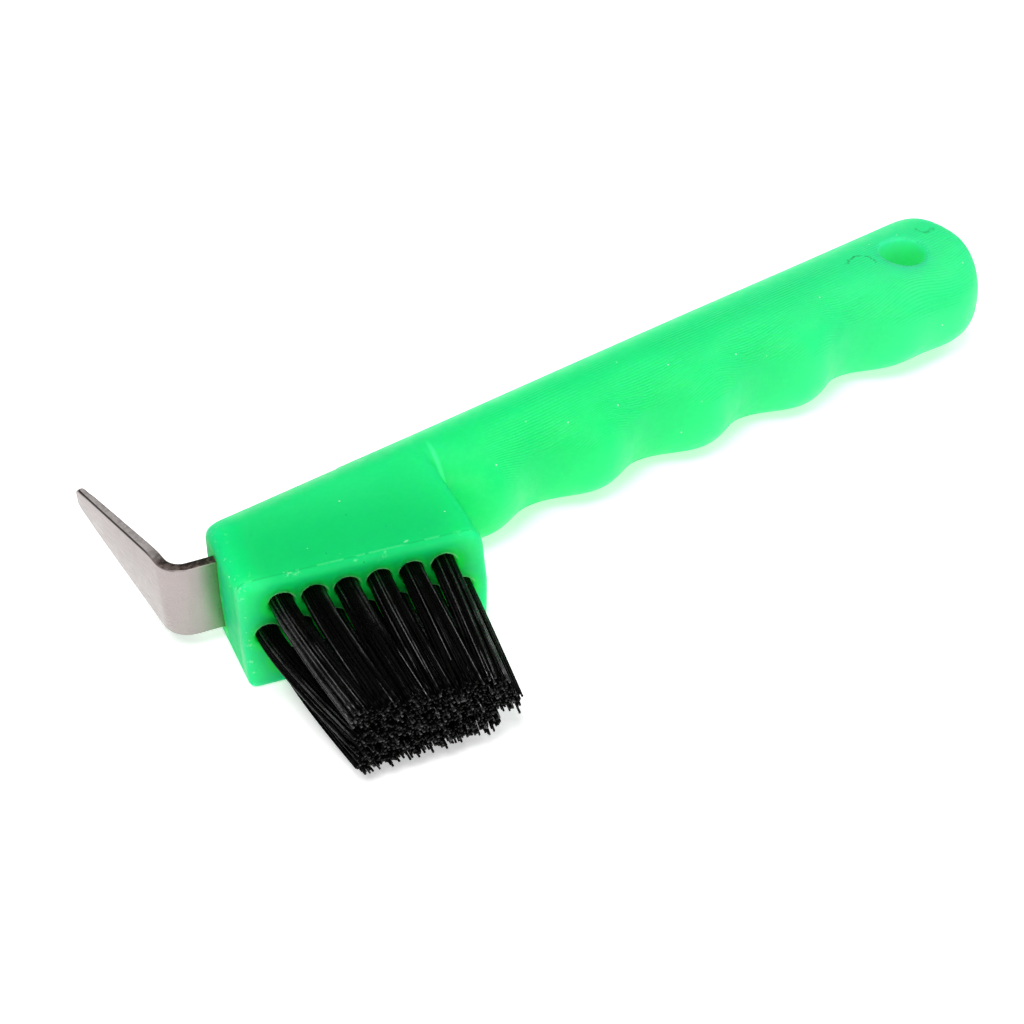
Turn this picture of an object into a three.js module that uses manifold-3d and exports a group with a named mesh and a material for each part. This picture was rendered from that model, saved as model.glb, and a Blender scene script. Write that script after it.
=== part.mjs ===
// Hoof pick with brush, lying on its side as it rests on a table.
//
// +X runs along the handle from the brush head to the hanging end, +Y is the back of the
// handle (the side that the steel pick points to), -Y is the bristle side, and +Z is up.
// Millimetres. The outline is drawn with the back of the handle on Y = 0 and the front
// corner of the brush face on X = 0; the whole tool is centred over its footprint at the end.
import * as THREE from 'three';
import { mergeVertices } from 'three/addons/utils/BufferGeometryUtils.js';
import Module from 'manifold-3d';

const wasm = await Module();
wasm.setup();

// ---------------------------------------------------------------- driving dimensions

const CLEARANCE = 0.3;          // gap kept between pieces that are pressed or moulded together
const WIDTH = 21.3;             // thickness of the handle and head across Z
const MID = WIDTH / 2;          // height of the mould's parting plane

const FACE_LENGTH = 40;         // brush face, front corner to rear corner
const FACE_TILT = THREE.MathUtils.degToRad(16.3);   // brush face against the handle's back
const END_TILT = THREE.MathUtils.degToRad(78.1);    // front and rear ends of the head
const HEAD_DEPTH = 22.6;        // back of the handle to the face's front corner
const HEAD_CORNER = 1.9;        // rounding of the head's four upright edges
const HEAD_NOSE = 6.5;          // rounding from the front end into the back
const HEAD_POWER = 2;           // the section's outline: 2 is an ellipse, more is squarer
const END_POWER = 2.3;          // the grip grows squarer towards its far end

const GRIP_END = 163.4;         // far end of the handle
const GRIP_START = 30;          // the grip's loft starts inside the head
const GRIP_HALF_WIDTH = 10.4;
const GRIP_TAPER = 0.056;       // the grip grows deeper towards its far end
const GRIP_VALLEY = 18.1;       // depth of the grip at its first finger valley
const FIRST_VALLEY = 61.3;
const FINGER_PITCH = 22.85;
const FINGER_DEPTH = 3.9;
const END_DEPTH = 28;           // depth of the grip behind its last finger valley
const END_BLEND = [3.1, 4.05];  // finger pitches past the first valley where that depth takes over
const END_ROUND = {             // length and power of the far end's rounding
  front: [14, 2.6],
  back: [8.5, 4],
  side: [5, 3.4],
};

const HANG_HOLE_X = 148.6;
const HANG_HOLE_Y = -14.6;
const HANG_HOLE_RADIUS = 4.5;

const TUFT_PITCH = 5.3;
const TUFT_MARGIN = 4.05;       // front corner of the face to the first tuft of the middle row
const ROW_SPACING = 5.7;
const TUFT_RADIUS = 1.9;
const TUFT_TRIM = 26;           // bristle length outside the face
const TUFT_DEPTH = 8.4;         // how far a tuft reaches into the head
const TIP_FIRST = { upper: 12.2, middle: 11, lower: 11.3 };  // first tip along the face
const TIP_PITCH = { upper: 4.3, middle: 4, lower: 3.9 };
const TIP_SPACING = [4.9, 3.9]; // between rows, at their first and last tips
const TIP_SAG = [1.6, 1.3];     // how far the first and the last tips drop
const TUFT_BEND = 0.3;          // share of its length at which a tuft bends over
const TIP_RADII = [1.75, 1.75];  // tuft tip along the face and across it

const ANCHOR_LENGTH = 4.9;      // flat wire staple that holds a folded tuft in its hole
const ANCHOR_HEIGHT = 2;
const ANCHOR_THICKNESS = 0.45;
const ANCHOR_TURN = THREE.MathUtils.degToRad(35);

const BLADE_THICKNESS = 1.7;
const BLADE_WIDTH = 14;
const BLADE_LIFT = 10.8;        // brush face to the blade's lower side
const BLADE_BEND = 3;           // inner bend radius
const PICK_FRONT = -5.7;        // the pick's outer side
const PICK_TIP = 24.4;          // how far the pick stands up past the handle's back
const PICK_TAPER_START = -4.5;
const TIP_HALF_WIDTH = 2.3;
const TANG_LENGTH = 27;         // blade buried in the head
const KEY_HOLE_RADIUS = 2.1;    // holes in the tang that the plastic fills
const KEY_HOLES = [8, 19];      // their distance from the head's front end

// ---------------------------------------------------------------- solids and materials

const material = (color, roughness, metalness = 0) =>
  new THREE.MeshStandardMaterial({ color, roughness, metalness });
const GREEN_PLASTIC = material(0x2af086, 0.42);
const BLACK_NYLON = material(0x0b0b0c, 0.45);
const STEEL = material(0xc8bebb, 0.3, 1);
const STAPLE_WIRE = material(0xb9a26a, 0.35, 1);

function toSolid(geometry) {
  const plain = geometry.clone();
  plain.deleteAttribute('normal');
  plain.deleteAttribute('uv');
  const merged = mergeVertices(plain, 1e-4);
  return new wasm.Manifold(new wasm.Mesh({
    numProp: 3,
    vertProperties: Float32Array.from(merged.attributes.position.array),
    triVerts: Uint32Array.from(merged.index.array),
  }));
}

function toGeometry(solid) {
  const mesh = solid.getMesh();
  const geometry = new THREE.BufferGeometry();
  geometry.setAttribute('position', new THREE.BufferAttribute(mesh.vertProperties, 3));
  geometry.setIndex(new THREE.BufferAttribute(mesh.triVerts, 1));
  geometry.computeVertexNormals();
  return geometry;
}

function namedMesh(name, geometry, look) {
  const mesh = new THREE.Mesh(geometry, look);
  mesh.name = name;
  return mesh;
}

// Moves a geometry drawn in X, Y, Z onto the axes given, with its origin at `origin`.
function place(geometry, xAxis, yAxis, zAxis, origin) {
  const matrix = new THREE.Matrix4().makeBasis(xAxis, yAxis, zAxis).setPosition(origin);
  return geometry.applyMatrix4(matrix);
}

const extrude = (shape, depth, curveSegments = 12) =>
  new THREE.ExtrudeGeometry(shape, { depth, bevelEnabled: false, curveSegments });

// ---------------------------------------------------------------- directions on the head

const ALONG = new THREE.Vector3(Math.cos(FACE_TILT), -Math.sin(FACE_TILT), 0);
const OUTWARD = new THREE.Vector3(-Math.sin(FACE_TILT), -Math.cos(FACE_TILT), 0);
const UP = new THREE.Vector3(0, 0, 1);
const END_EDGE = new THREE.Vector3(Math.cos(END_TILT), Math.sin(END_TILT), 0);
const FACE_FRONT = new THREE.Vector3(0, -HEAD_DEPTH, 0);
const FACE_REAR = FACE_FRONT.clone().addScaledVector(ALONG, FACE_LENGTH);

// A point at `along` from the face's front corner, `out` of the face and at height `z`.
function facePoint(along, out, z) {
  return FACE_FRONT.clone()
    .addScaledVector(ALONG, along)
    .addScaledVector(OUTWARD, out)
    .setZ(z);
}

// ---------------------------------------------------------------- grip

// The share of the grip's depth or width that is left where its far end rounds off.
function endRounding(x, [length, power]) {
  const t = Math.max(0, x - (GRIP_END - length)) / length;
  return Math.pow(Math.max(0, 1 - Math.pow(t, power)), 1 / power);
}

// A point of a superellipse with half axes of 1, as its two coordinates.
function roundedPoint(angle, power) {
  const c = Math.cos(angle);
  const s = Math.sin(angle);
  return [Math.sign(c) * Math.pow(Math.abs(c), 2 / power), Math.sign(s) * Math.pow(Math.abs(s), 2 / power)];
}

const middleLine = (x) => THREE.MathUtils.lerp(-MID, -END_DEPTH / 2, THREE.MathUtils.smoothstep(x, 50, 140));

// How far below the back the finger side lies.
function fingerDepth(x) {
  const turns = (x - FIRST_VALLEY) / FINGER_PITCH;
  const lobe = FINGER_DEPTH * (1 - Math.cos(2 * Math.PI * turns)) / 2;
  const wavy = GRIP_VALLEY + GRIP_TAPER * (x - FIRST_VALLEY) + lobe;
  return THREE.MathUtils.lerp(wavy, END_DEPTH, THREE.MathUtils.smoothstep(turns, ...END_BLEND));
}

// One cross-section of the grip, counter-clockwise seen from +X.
function gripSection(x, count) {
  const middle = middleLine(x);
  const back = -middle * endRounding(x, END_ROUND.back);
  const front = (fingerDepth(x) + middle) * endRounding(x, END_ROUND.front);
  const half = GRIP_HALF_WIDTH * endRounding(x, END_ROUND.side);
  const power = THREE.MathUtils.lerp(HEAD_POWER, END_POWER, THREE.MathUtils.smoothstep(x, 45, 120));
  const points = [];
  for (let i = 0; i < count; i += 1) {
    const [y, z] = roundedPoint(2 * Math.PI * i / count, power);
    points.push([x, middle + y * (y > 0 ? back : front), MID + z * half]);
  }
  return points;
}

// Skins a row of sections that all have the same number of points, and caps both ends.
function loft(sections) {
  const count = sections[0].length;
  const positions = sections.flat(2);
  const index = [];
  for (let k = 0; k < sections.length - 1; k += 1) {
    for (let i = 0; i < count; i += 1) {
      const a = k * count + i;
      const b = k * count + (i + 1) % count;
      index.push(a, b, b + count, a, b + count, a + count);
    }
  }
  const last = (sections.length - 1) * count;
  for (let i = 1; i < count - 1; i += 1) {
    index.push(0, i + 1, i);
    index.push(last, last + i, last + i + 1);
  }
  const geometry = new THREE.BufferGeometry();
  geometry.setAttribute('position', new THREE.Float32BufferAttribute(positions, 3));
  geometry.setIndex(index);
  return geometry;
}

function makeGrip() {
  const stations = [];
  const rounding = Math.max(END_ROUND.front[0], END_ROUND.back[0], END_ROUND.side[0]);
  const straight = GRIP_END - rounding;
  const steps = 42;
  for (let i = 0; i < steps; i += 1) stations.push(GRIP_START + (straight - GRIP_START) * i / steps);
  const endSteps = 10;
  for (let i = 0; i <= endSteps; i += 1) {
    const turn = 0.97 * Math.PI / 2 * i / endSteps;
    stations.push(straight + rounding * Math.sin(turn));
  }
  return toSolid(loft(stations.map((x) => gripSection(x, 28))));
}

// ---------------------------------------------------------------- head

// Side view of the head: brush face, rear end, back, and the rounded nose.
function headSide() {
  const rear = FACE_REAR.clone().addScaledVector(END_EDGE, -FACE_REAR.y / END_EDGE.y);
  const front = FACE_FRONT.clone().addScaledVector(END_EDGE, -FACE_FRONT.y / END_EDGE.y);
  const noseStart = front.clone().addScaledVector(END_EDGE, -HEAD_NOSE);
  const outline = new THREE.Shape();
  outline.moveTo(FACE_FRONT.x, FACE_FRONT.y);
  outline.lineTo(FACE_REAR.x, FACE_REAR.y);
  outline.lineTo(rear.x, rear.y);
  outline.lineTo(front.x + HEAD_NOSE, front.y);
  outline.quadraticCurveTo(front.x, front.y, noseStart.x, noseStart.y);
  return toSolid(extrude(outline, WIDTH, 6));
}

// End view of the head: flat sides that run into the grip's rounded back.
function headSection() {
  const outline = new THREE.Shape();
  const deepest = FACE_REAR.y - 5;
  outline.moveTo(deepest, 0);
  outline.lineTo(-MID, 0);
  const steps = 14;
  for (let i = 1; i <= steps; i += 1) {
    const [y, z] = roundedPoint(Math.PI * i / steps - Math.PI / 2, HEAD_POWER);
    outline.lineTo(-MID + y * MID, MID + z * MID);
  }
  outline.lineTo(deepest, WIDTH);
  const bar = extrude(outline, 80);
  const start = new THREE.Vector3(-15, 0, 0);
  return toSolid(place(bar, new THREE.Vector3(0, 1, 0), UP, new THREE.Vector3(1, 0, 0), start));
}

// View into the brush face: a rectangle with rounded corners.
function headFace() {
  const outline = new THREE.Shape();
  const r = HEAD_CORNER;
  const square = FACE_LENGTH * Math.sin(END_TILT + FACE_TILT);
  outline.absarc(r, r, r, Math.PI, Math.PI * 1.5);
  outline.absarc(square - r, r, r, Math.PI * 1.5, Math.PI * 2);
  outline.absarc(square - r, WIDTH - r, r, 0, Math.PI / 2);
  outline.absarc(r, WIDTH - r, r, Math.PI / 2, Math.PI);
  const block = extrude(outline, 70, 5);
  const across = new THREE.Vector3().crossVectors(END_EDGE, UP);
  const start = FACE_FRONT.clone().addScaledVector(END_EDGE, -15).setZ(0);
  const turned = new THREE.Vector3().crossVectors(UP, across);
  const solid = place(block, across, UP, turned.negate(), start.addScaledVector(END_EDGE, 60));
  return toSolid(solid);
}

// ---------------------------------------------------------------- brush

function tuftRows() {
  const row = (name, count, shift, side) => Array.from({ length: count }, (_, i) => ({
    name: `${name}_${i + 1}`,
    tip: TIP_FIRST[name] + i * TIP_PITCH[name],
    along: TUFT_MARGIN + (i + shift) * TUFT_PITCH,
    step: i + shift,
    side,
  }));
  return [...row('upper', 6, 0.5, 1), ...row('middle', 7, 0, 0), ...row('lower', 6, 0.5, -1)];
}

// A straight round bar from `from` out of the brush face to `to`, used for holes and roots.
function faceBar(tuft, radius, from, to, sides) {
  const bar = new THREE.CylinderGeometry(radius, radius, to - from, sides);
  const z = MID + tuft.side * ROW_SPACING;
  const middle = facePoint(tuft.along, (from + to) / 2, z);
  return toSolid(place(bar, ALONG, OUTWARD, new THREE.Vector3().crossVectors(ALONG, OUTWARD), middle));
}

// The flat staple, or the notch that holds it when `spare` is added all round.
function anchorBlock(tuft, spare) {
  const block = new THREE.BoxGeometry(
    ANCHOR_LENGTH + 2 * spare, ANCHOR_HEIGHT + 2 * spare, ANCHOR_THICKNESS + 2 * spare);
  block.rotateY(ANCHOR_TURN);
  const middle = facePoint(tuft.along, -(TUFT_DEPTH - 2.4), MID + tuft.side * ROW_SPACING);
  return place(block, ALONG, OUTWARD, new THREE.Vector3().crossVectors(ALONG, OUTWARD), middle);
}

// The free length of a tuft: leaves the face squarely and bends over to its trimmed tip.
function tuftShaft(tuft) {
  const z = MID + tuft.side * ROW_SPACING;
  const sag = THREE.MathUtils.lerp(TIP_SAG[0], TIP_SAG[1], tuft.step / 6);
  const spacing = THREE.MathUtils.lerp(TIP_SPACING[0], TIP_SPACING[1], tuft.step / 6);
  const tipZ = MID + tuft.side * spacing - sag;
  const path = new THREE.QuadraticBezierCurve3(
    facePoint(tuft.along, -0.5, z),
    facePoint(tuft.along, TUFT_BEND * TUFT_TRIM, z),
    facePoint(tuft.tip, TUFT_TRIM, tipZ));
  const rings = 6;
  const sides = 12;
  const sections = [];
  for (let k = 0; k <= rings; k += 1) {
    const t = k / rings;
    const centre = path.getPoint(t);
    const wide = THREE.MathUtils.lerp(TUFT_RADIUS, TIP_RADII[0], t);
    const high = THREE.MathUtils.lerp(TUFT_RADIUS, TIP_RADII[1], t);
    const ring = [];
    for (let i = 0; i < sides; i += 1) {
      const angle = 2 * Math.PI * i / sides;
      const point = centre.clone()
        .addScaledVector(ALONG, wide * Math.cos(angle))
        .addScaledVector(UP, high * Math.sin(angle));
      ring.push(point.toArray());
    }
    sections.push(ring);
  }
  return toSolid(loft(sections));
}

function makeTuft(tuft) {
  const root = faceBar(tuft, TUFT_RADIUS, -TUFT_DEPTH, -0.4, 12);
  const fold = toSolid(anchorBlock(tuft, CLEARANCE));
  return toGeometry(root.add(tuftShaft(tuft)).subtract(fold));
}

// ---------------------------------------------------------------- steel blade

// Side view of the bent strip, grown by `spare` on both sides for the slot that holds it.
function bladeStrip(spare) {
  const outer = facePoint(0, -(BLADE_LIFT - spare), 0);
  const inner = facePoint(0, -(BLADE_LIFT + BLADE_THICKNESS + spare), 0);
  const tang = TANG_LENGTH + 2.5 + spare;
  const pick = PICK_FRONT - spare;
  const pickInner = PICK_FRONT + BLADE_THICKNESS + spare;
  const onLine = (start, x) => start.y - (x - start.x) * Math.tan(FACE_TILT);
  const outerCorner = new THREE.Vector2(pick, onLine(outer, pick));
  const innerCorner = new THREE.Vector2(pickInner, onLine(inner, pickInner));
  const turn = Math.tan((Math.PI / 2 - FACE_TILT) / 2);
  const reachOuter = (BLADE_BEND + BLADE_THICKNESS) * turn;
  const reachInner = BLADE_BEND * turn;
  const centre = new THREE.Vector2(pickInner + BLADE_BEND, innerCorner.y + reachInner);
  const outline = new THREE.Shape();
  const tangOuter = outer.clone().addScaledVector(ALONG, tang);
  const tangInner = inner.clone().addScaledVector(ALONG, tang);
  outline.moveTo(tangOuter.x, tangOuter.y);
  outline.lineTo(tangInner.x, tangInner.y);
  outline.lineTo(innerCorner.x + reachInner * ALONG.x, innerCorner.y + reachInner * ALONG.y);
  outline.absarc(centre.x, centre.y, BLADE_BEND, 1.5 * Math.PI - FACE_TILT, Math.PI, true);
  outline.lineTo(pickInner, PICK_TIP + 1);
  outline.lineTo(pick, PICK_TIP + 1);
  outline.lineTo(outerCorner.x, outerCorner.y + reachOuter);
  outline.absarc(centre.x, centre.y, BLADE_BEND + BLADE_THICKNESS, Math.PI, 1.5 * Math.PI - FACE_TILT);
  return outline;
}

// Front view of the blade: parallel at the bend, tapering to a round tip.
function bladeFront() {
  const half = BLADE_WIDTH / 2;
  const tipCentre = PICK_TIP - TIP_HALF_WIDTH;
  const outline = new THREE.Shape();
  outline.moveTo(-40, MID - half);
  outline.lineTo(PICK_TAPER_START, MID - half);
  outline.lineTo(tipCentre, MID - TIP_HALF_WIDTH);
  outline.absarc(tipCentre, MID, TIP_HALF_WIDTH, -Math.PI / 2, Math.PI / 2);
  outline.lineTo(PICK_TAPER_START, MID + half);
  outline.lineTo(-40, MID + half);
  const sheet = extrude(outline, 70, 10);
  const start = new THREE.Vector3(-12, 0, 0);
  return toSolid(place(sheet, new THREE.Vector3(0, 1, 0), UP, new THREE.Vector3(1, 0, 0), start));
}

// Pins of plastic, or the holes around them, square through the tang.
function keyPins(radius) {
  return KEY_HOLES.map((along) => {
    const pin = new THREE.CylinderGeometry(radius, radius, BLADE_THICKNESS + 4, 16);
    const middle = facePoint(along + 2.5, -(BLADE_LIFT + BLADE_THICKNESS / 2), MID);
    const across = new THREE.Vector3().crossVectors(ALONG, OUTWARD);
    return toSolid(place(pin, ALONG, OUTWARD, across, middle));
  });
}

function makeBlade() {
  const strip = toSolid(extrude(bladeStrip(0), WIDTH, 8));
  let blade = strip.intersect(bladeFront());
  for (const hole of keyPins(KEY_HOLE_RADIUS)) blade = blade.subtract(hole);
  return toGeometry(blade);
}

// The pocket that the plastic leaves around the tang, with the key pins standing in it.
function tangPocket() {
  const length = TANG_LENGTH + 2.5 + CLEARANCE + 12;
  const block = new THREE.BoxGeometry(length, BLADE_THICKNESS + 2 * CLEARANCE, BLADE_WIDTH + 2 * CLEARANCE);
  const middle = facePoint(length / 2 - 12, -(BLADE_LIFT + BLADE_THICKNESS / 2), MID);
  let pocket = toSolid(place(block, ALONG, OUTWARD.clone().negate(), UP, middle));
  for (const pin of keyPins(KEY_HOLE_RADIUS - CLEARANCE)) pocket = pocket.subtract(pin);
  return pocket;
}

// ---------------------------------------------------------------- handle

function makeHandle(tufts) {
  let handle = headSide().intersect(headSection()).intersect(headFace());
  handle = handle.add(makeGrip());
  for (const tuft of tufts) {
    const hole = faceBar(tuft, TUFT_RADIUS + CLEARANCE, -(TUFT_DEPTH + CLEARANCE), 3, 12);
    handle = handle.subtract(hole).subtract(toSolid(anchorBlock(tuft, CLEARANCE)));
  }
  const hangHole = new THREE.CylinderGeometry(HANG_HOLE_RADIUS, HANG_HOLE_RADIUS, 2 * WIDTH, 32);
  hangHole.rotateX(Math.PI / 2).translate(HANG_HOLE_X, HANG_HOLE_Y, MID);
  return toGeometry(handle.subtract(tangPocket()).subtract(toSolid(hangHole)));
}

// ---------------------------------------------------------------- assembly

const tufts = tuftRows();
const tool = new THREE.Group();
tool.add(namedMesh('handle', makeHandle(tufts), GREEN_PLASTIC));
tool.add(namedMesh('pick_blade', makeBlade(), STEEL));
for (const tuft of tufts) {
  tool.add(namedMesh(`tuft_${tuft.name}`, makeTuft(tuft), BLACK_NYLON));
  tool.add(namedMesh(`staple_${tuft.name}`, anchorBlock(tuft, 0), STAPLE_WIRE));
}

// Stand the tool on Z = 0 with its footprint centred on the origin.
const size = new THREE.Box3().setFromObject(tool);
const centre = size.getCenter(new THREE.Vector3());
tool.position.set(-centre.x, -centre.y, -size.min.z);

export default tool;
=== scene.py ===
"""Looks of the hoof pick: moulded handle, nylon bristles, steel pick and a small photo studio.

The shapes are worked out in millimetres in the drawing frame of the part: the back of the
handle on y = 0, the front corner of the brush face on x = 0 and the table on z = 0. They are
moved to the frame's own metres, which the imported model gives, when a mesh is made.
"""
import itertools
import math

import bpy
import numpy as np
from mathutils import Matrix, Vector


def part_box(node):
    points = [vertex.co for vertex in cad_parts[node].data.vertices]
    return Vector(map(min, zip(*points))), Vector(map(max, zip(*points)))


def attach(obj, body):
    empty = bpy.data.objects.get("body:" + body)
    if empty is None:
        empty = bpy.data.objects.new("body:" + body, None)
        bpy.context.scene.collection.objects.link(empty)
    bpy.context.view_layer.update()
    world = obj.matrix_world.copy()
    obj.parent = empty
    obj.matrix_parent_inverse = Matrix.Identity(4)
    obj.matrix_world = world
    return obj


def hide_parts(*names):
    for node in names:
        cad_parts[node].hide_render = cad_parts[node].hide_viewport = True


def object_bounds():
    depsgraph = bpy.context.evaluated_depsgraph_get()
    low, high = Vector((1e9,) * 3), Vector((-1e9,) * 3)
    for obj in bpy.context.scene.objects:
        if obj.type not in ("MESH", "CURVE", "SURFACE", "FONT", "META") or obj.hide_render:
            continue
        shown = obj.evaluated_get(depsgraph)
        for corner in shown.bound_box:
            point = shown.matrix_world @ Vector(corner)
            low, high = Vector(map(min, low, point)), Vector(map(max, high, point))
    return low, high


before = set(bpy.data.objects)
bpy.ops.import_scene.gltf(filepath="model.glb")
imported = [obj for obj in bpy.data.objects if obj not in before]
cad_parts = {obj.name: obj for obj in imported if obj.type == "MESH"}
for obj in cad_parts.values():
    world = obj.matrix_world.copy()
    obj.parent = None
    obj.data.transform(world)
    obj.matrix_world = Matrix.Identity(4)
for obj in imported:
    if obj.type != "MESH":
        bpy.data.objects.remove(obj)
cad_low, cad_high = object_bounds()

# ---------------------------------------------------------------- dimensions, millimetres

MM = 0.001
handle_low, handle_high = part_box("handle")
ORIGIN = np.array([handle_low.x, handle_high.y, handle_low.z])
WIDTH = (handle_high.z - handle_low.z) / MM
MID = WIDTH / 2
GRIP_END = (handle_high.x - handle_low.x) / MM

FACE_LENGTH = 40.0
FACE_TILT = math.radians(16.3)  # brush face against the handle's length
END_TILT = math.radians(78.1)   # end faces against the handle's length
HEAD_DEPTH = 23.1               # back of the handle to the front corner of the brush face
HEAD_NOSE = 8.0                 # rounding between the front end and the back, seen from above
HEAD_CORNERS = (2.4, 3.4)       # rounding of the edges of the front and rear end faces
FACE_EDGE = 1.5                 # rounding of the edges of the brush face
FACE_LEAN = 0.4                 # the brush face stands this much further out at the table
BACK_SHRINK = 0.32              # the round back stays inside the flat sides' width
DRAFT = (0.02, 0.055)           # how much each end narrows per millimetre off the parting plane
END_SWELL = (0.18, -0.05)       # how far each end stands outside its drawn line, halfway up

GRIP_START = 30.0               # where the grip begins, hidden in the head
GRIP_HALF_WIDTH = 10.4
SECTION_POWER = (1.95, 2.3)     # superellipse power of the section, near the head and at the end
GRIP_TAPER = 0.056              # how much deeper the grip gets per millimetre toward its end
GRIP_VALLEY = 18.1              # depth at the first finger valley
FIRST_VALLEY = 61.3
FINGER_PITCH = 22.85
FINGER_DEPTH = 3.9
END_DEPTH = 28.0
END_BLEND = (3.1, 4.05)         # finger pitches from the first valley where the waves fade out
END_ROUND_FRONT = (14.0, 2.6)   # length and power of each rounding of the far end
END_ROUND_BACK = (8.5, 4.0)
END_ROUND_SIDE = (5.0, 3.4)
SWELL_HEIGHT = 0.45             # low swellings on the flats of the finger lobes
SWELL_DEPTH = 21.8
SWELL_REACH = (7.0, 4.5)
JOIN_FILLET = (0.04, 1.2)       # fillet between head and grip: least, and its growth off the back

GRID = 0.36                     # spacing of the grid that the handle's mesh is drawn from

HANG_HOLE = (148.6, -14.6)
HANG_HOLE_RADIUS = 4.5
HANG_HOLE_LIP = 0.6
TUFT_HOLE_LIP = 0.3
SLOT_LIP = 0.12
SLOT_SPARE = 0.04               # the slot is this much larger than the tang all round

TUFT_PITCH = 5.3
TUFT_MARGIN = 3.85              # front corner of the face to the first hole
ROW_SPACING = 5.7
TUFT_RADIUS = 1.95
TUFT_HOLE_RADIUS = 2.12
TUFT_HOLE_DEPTH = 8.7
TUFT_TRIM = (25.8, 25.2)        # brush face to the cut tips, at the front and at the rear
TUFT_SPREAD = (1.1, 1.05)       # how much wider a tuft is at its tips, along the face and up
TUFT_BEND = 0.3                 # share of the trim where a filament's bend is pulled to
TIP_SPACING = (4.9, 3.6)        # from row to row at the tips, at the front and at the rear
TIP_SAG = (1.6, 1.55)           # how far the tips hang below their holes, likewise
FILAMENT_RADIUS = 0.19
FILAMENT_PITCH = 2.12 * FILAMENT_RADIUS
FILAMENT_SCATTER = 0.3          # spread of the cut tips along the face, off it and in height
LONG_FILAMENTS = 0.04           # share of the filaments that were cut too long
ROWS = {                        # count, first step, side, first tip along the face, tip pitch
    "upper": (6, 0.5, 1, 12.2, 4.17),
    "middle": (7, 0.0, 0, 12.0, 3.85),
    "lower": (6, 0.5, -1, 12.2, 3.8),
}

BLADE_THICKNESS = (1.9, 1.25)   # at the plastic and at the pick's tip
BLADE_MIDDLE = 12.15            # brush face to the middle of the strip
BLADE_WIDTH = 14.0
BLADE_BEND = 3.85               # bend radius of the strip's middle
BLADE_EDGE = 0.24
WORN_TIP = 0.3                  # extra rounding of the edges at the worn tip
PICK_MIDDLE = -4.9
PICK_TIP = 24.4
PICK_TAPER_START = -4.5
TIP_HALF_WIDTH = 2.4
PICK_LIFT = 0.45                # the pick is bent a little up from the strip
TANG_LENGTH = 29.5
STRIP_TILT = math.radians(13.4)  # strip against the handle's length

ALONG = np.array([math.cos(FACE_TILT), -math.sin(FACE_TILT), 0.0])
OUTWARD = np.array([-math.sin(FACE_TILT), -math.cos(FACE_TILT), 0.0])
UP = np.array([0.0, 0.0, 1.0])
ACROSS_END = np.array([math.sin(END_TILT), -math.cos(END_TILT), 0.0])
FACE_FRONT = np.array([0.0, -HEAD_DEPTH, 0.0])
HEAD_LENGTH = FACE_LENGTH * math.sin(END_TILT + FACE_TILT)  # from one end face to the other


def between(ends, share):
    return ends[0] + (ends[1] - ends[0]) * share


def face_point(along, out, z):
    """A point measured from the brush face's front corner."""
    return FACE_FRONT + along * ALONG + out * OUTWARD + z * UP


# ---------------------------------------------------------------- meshes


def to_frame(points):
    """Drawing millimetres to the frame's metres."""
    return ORIGIN + MM * np.asarray(points, float)


def make_piece(name, points, faces, materials, smooth=True):
    mesh = bpy.data.meshes.new(name)
    mesh.from_pydata(to_frame(points).tolist(), [], [list(map(int, f)) for f in faces])
    mesh.validate()
    for material in materials:
        mesh.materials.append(material)
    if smooth:
        mesh.polygons.foreach_set("use_smooth", [True] * len(mesh.polygons))
    piece = bpy.data.objects.new(name, mesh)
    bpy.context.scene.collection.objects.link(piece)
    return piece


# ---------------------------------------------------------------- solid modelling by distance


def union(a, b, fillet):
    """Both shapes together, with a fillet where they meet."""
    h = np.clip(0.5 + 0.5 * (b - a) / fillet, 0, 1)
    return b * (1 - h) + a * h - fillet * h * (1 - h)


def both(a, b, edge):
    """What the shapes share, with rounded edges."""
    return -union(-a, -b, edge)


def without(a, b, edge):
    """The first shape with the second cut out of it, with a rounded rim."""
    return both(a, -b, edge)


def smoothstep(x, low, high):
    t = np.clip((x - low) / (high - low), 0, 1)
    return t * t * (3 - 2 * t)


CORNERS = list(itertools.product((0, 1), repeat=3))  # of one grid cell


def net_points(field, cells, active):
    """The mean of the places where the field changes sign along each active cell's edges."""
    nx, ny, nz = (n - 1 for n in field.shape)
    value = {(i, j, k): field[i:nx + i, j:ny + j, k:nz + k][active] for i, j, k in CORNERS}
    total = np.zeros((len(cells), 3))
    hits = np.zeros(len(cells))
    for start, axis in itertools.product(CORNERS, range(3)):
        if start[axis]:
            continue
        end = tuple(1 if a == axis else start[a] for a in range(3))
        a, b = value[start], value[end]
        crossed = (a < 0) != (b < 0)
        share = np.where(crossed, a / np.where(crossed, a - b, 1), 0)
        point = np.tile(np.array(start, float), (len(cells), 1))
        point[:, axis] += share
        total += point * crossed[:, None]
        hits += crossed
    return cells + total / hits[:, None]


def net_quads(inside, number, axis):
    """Quads round the grid edges along one axis that cross the surface, facing out."""
    u, v = (axis + 1) % 3, (axis + 2) % 3
    first = [slice(1, n - 1) for n in inside.shape]
    first[axis] = slice(0, inside.shape[axis] - 1)
    second = list(first)
    second[axis] = slice(1, inside.shape[axis])
    a, b = inside[tuple(first)], inside[tuple(second)]
    edge = np.argwhere(a != b) + np.array([0 if n == axis else 1 for n in range(3)])
    starts_inside = a[a != b]
    ring = []
    for du, dv in ((0, 0), (-1, 0), (-1, -1), (0, -1)):
        cell = edge.copy()
        cell[:, u] += du
        cell[:, v] += dv
        ring.append(number[cell[:, 0], cell[:, 1], cell[:, 2]])
    quads = np.stack(ring, 1)
    quads[~starts_inside] = quads[~starts_inside][:, ::-1]
    return quads


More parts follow.
